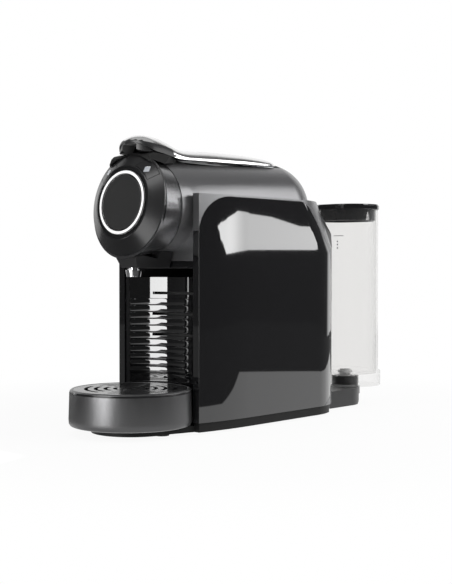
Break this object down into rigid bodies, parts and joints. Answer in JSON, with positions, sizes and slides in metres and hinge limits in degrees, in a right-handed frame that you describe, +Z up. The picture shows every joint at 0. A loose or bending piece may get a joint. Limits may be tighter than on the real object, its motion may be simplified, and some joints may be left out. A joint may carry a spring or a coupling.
{
  "type": "pod coffee machine",
  "caption": "Pod coffee machine with a lift-up lever, domed head with two buttons, ribbed capsule bin, round drip tray and a rear water tank.",
  "frame": {"origin": "centre of the bounding box at floor level", "axes": "+Z up, the front with the spout faces -Y, the right side faces +X"},
  "size_m": [0.115, 0.4067, 0.2633],
  "materials": {
    "shell_grey": "satin metallic",
    "gloss_black": "high gloss",
    "satin_black": "satin",
    "bright_ring": "satin chrome",
    "lever_silver": "silver lacquer",
    "tray_grey": "satin metallic",
    "clear_tank": "clear, faintly smoked",
    "steel": "machined",
    "cast_alloy": "as cast",
    "inner_plastic": "moulded",
    "rubber": "matte",
    "seal_rubber": "matte silicone",
    "hose_clear": "milky silicone",
    "hose_white": "white tube",
    "board_green": "circuit board",
    "light_white": "diffusing",
    "brass": "machined"
  },
  "bodies": {
    "housing": {"base_plate": "satin_black", "rubber_feet": "rubber", "base_screws": "steel", "body_cowl": "shell_grey", "side_panel_right": "gloss_black", "side_panel_left": "gloss_black", "rear_cover": "satin_black", "chassis": "inner_plastic", "head_band": "shell_grey", "front_bezel": "satin_black", "bezel_ring": "bright_ring", "front_disc": "satin_black", "switch_board": "board_green", "nozzle_housing": "satin_black", "spout": "bright_ring", "head_underplate": "gloss_black", "head_hood": "gloss_black", "lever_pin": "steel", "brew_frame": "inner_plastic", "injection_plate": "cast_alloy", "chamber_seal": "seal_rubber", "valve_seal": "seal_rubber", "tank_base": "satin_black", "thermoblock": "cast_alloy", "pump": "steel", "pump_mounts": "rubber", "flow_meter": "brass", "control_board": "board_green", "suction_hose": "hose_clear", "feed_hose": "hose_clear", "pressure_hose": "hose_white", "brew_hose": "hose_white", "cord_gland": "rubber"},
    "lever": {"lever_plate": "lever_silver", "lever_shell": "gloss_black", "lever_arm": "steel"},
    "cage": {"brew_cage": "inner_plastic"},
    "right_button": {"button_right": "satin_black", "button_light_right": "light_white"},
    "left_button": {"button_left": "satin_black", "button_light_left": "light_white"},
    "bin": {"bin_front": "gloss_black", "capsule_bin": "satin_black"},
    "tray": {"drip_tray": "tray_grey"},
    "grid": {"drip_grid": "satin_black"},
    "tank": {"water_tank": "clear_tank", "tank_valve": "satin_black"},
    "lid": {"tank_lid": "gloss_black"}
  },
  "joints": [
    {"name": "lever_hinge", "type": "hinge", "parent": "housing", "child": "lever", "pos_m": [0, 0.027, 0.2422], "axis": [-1, 0, 0], "range_deg": [0, 75]},
    {"name": "cage_slide", "type": "slide", "parent": "housing", "child": "cage", "axis": [0, -1, 0], "range_m": [0, 0.0244]},
    {"name": "right_button_press", "type": "slide", "parent": "housing", "child": "right_button", "axis": [0, 0.9903, -0.1392], "range_m": [0, 0.001], "stiffness_N_per_m": 600},
    {"name": "left_button_press", "type": "slide", "parent": "housing", "child": "left_button", "axis": [0, 0.9903, -0.1392], "range_m": [0, 0.001], "stiffness_N_per_m": 600},
    {"name": "bin_slide", "type": "slide", "parent": "housing", "child": "bin", "axis": [0, -1, 0], "range_m": [0, 0.13]},
    {"name": "tray_pull", "type": "slide", "parent": "bin", "child": "tray", "axis": [0, -1, 0], "range_m": [0, 0.04]},
    {"name": "grid_lift", "type": "slide", "parent": "tray", "child": "grid", "axis": [0, 0, 1], "range_m": [0, 0.04]},
    {"name": "tank_lift", "type": "slide", "parent": "housing", "child": "tank", "axis": [0, 0, 1], "range_m": [0, 0.06]},
    {"name": "lid_lift", "type": "slide", "parent": "tank", "child": "lid", "axis": [0, 0, 1], "range_m": [0, 0.025]}
  ],
  "couplings": [
    {"joint": "cage_slide", "follows": "lever_hinge", "m_per_rad": 0.018602}
  ]
}
